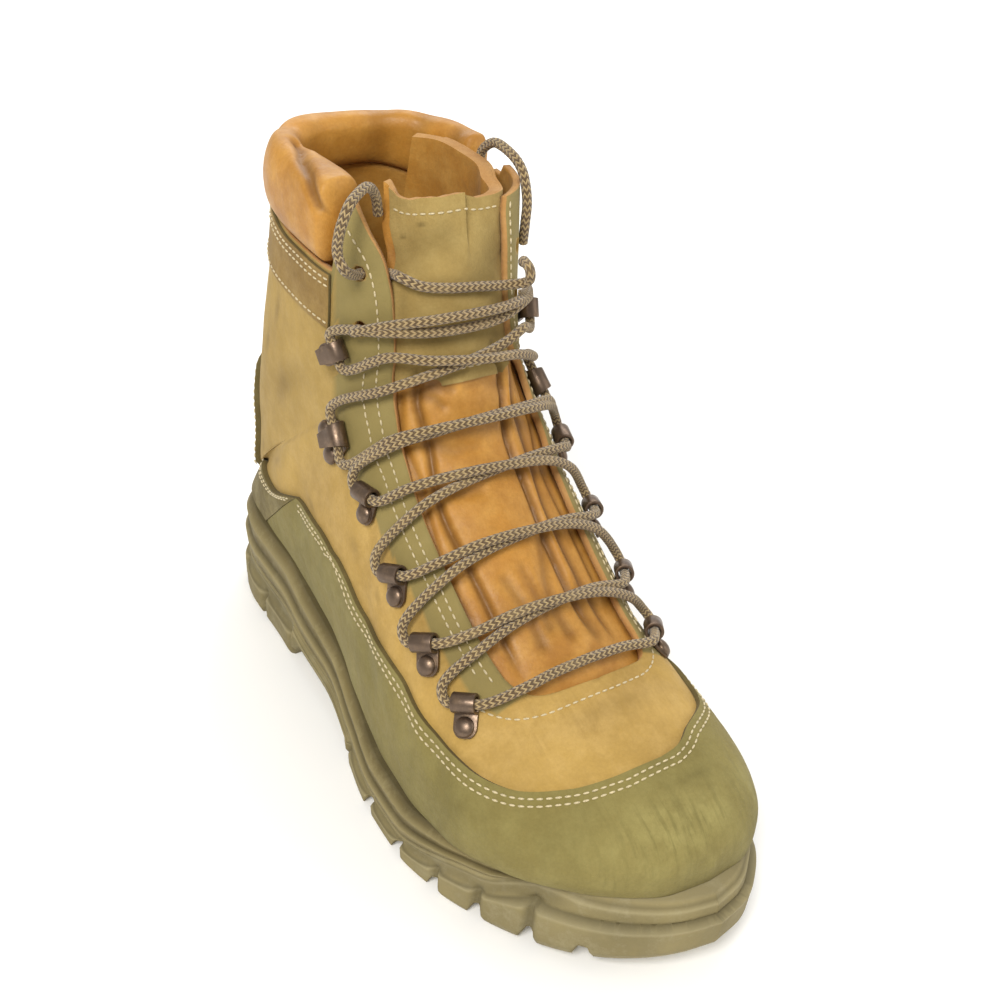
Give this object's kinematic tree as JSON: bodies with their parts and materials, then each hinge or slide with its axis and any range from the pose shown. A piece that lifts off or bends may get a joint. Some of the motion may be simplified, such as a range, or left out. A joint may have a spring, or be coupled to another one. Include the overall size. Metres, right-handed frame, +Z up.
{
  "type": "combat boot",
  "caption": "Right-foot mountain combat boot in leather and suede, with rand, padded collar, lace clips and lugged sole.",
  "frame": {"origin": "middle of the boot's box in plan, on the floor it stands on", "axes": "+Z up, toe towards -Y, +X towards the wearer's left, which is the boot's inner side"},
  "size_m": [0.118, 0.2998, 0.2248],
  "materials": {
    "rubber": "matte",
    "foam": "matte",
    "lining": "satin",
    "nubuck": "matte",
    "suede": "matte",
    "counter_suede": "matte",
    "band_nubuck": "matte",
    "collar_leather": "satin",
    "tongue_suede": "matte",
    "dark_metal": "dark brown, satin",
    "braid": "matte"
  },
  "bodies": {
    "root": {"outsole": "rubber", "midsole": "foam", "insole": "lining", "upper": "nubuck", "rand": "suede", "heel_counter": "counter_suede", "collar_band": "band_nubuck", "collar": "collar_leather", "tongue": "tongue_suede", "lateral_loop_1": "dark_metal", "lateral_loop_2": "dark_metal", "lateral_loop_3": "dark_metal", "lateral_loop_4": "dark_metal", "lateral_lock": "dark_metal", "lateral_hook": "dark_metal", "medial_loop_1": "dark_metal", "medial_loop_2": "dark_metal", "medial_loop_3": "dark_metal", "medial_loop_4": "dark_metal", "medial_lock": "dark_metal", "medial_hook": "dark_metal", "lace_crossings": "braid", "lace_outer_loop": "braid", "lace_inner_loop": "braid", "lace_top_run": "braid"}
  },
  "joints": []
}
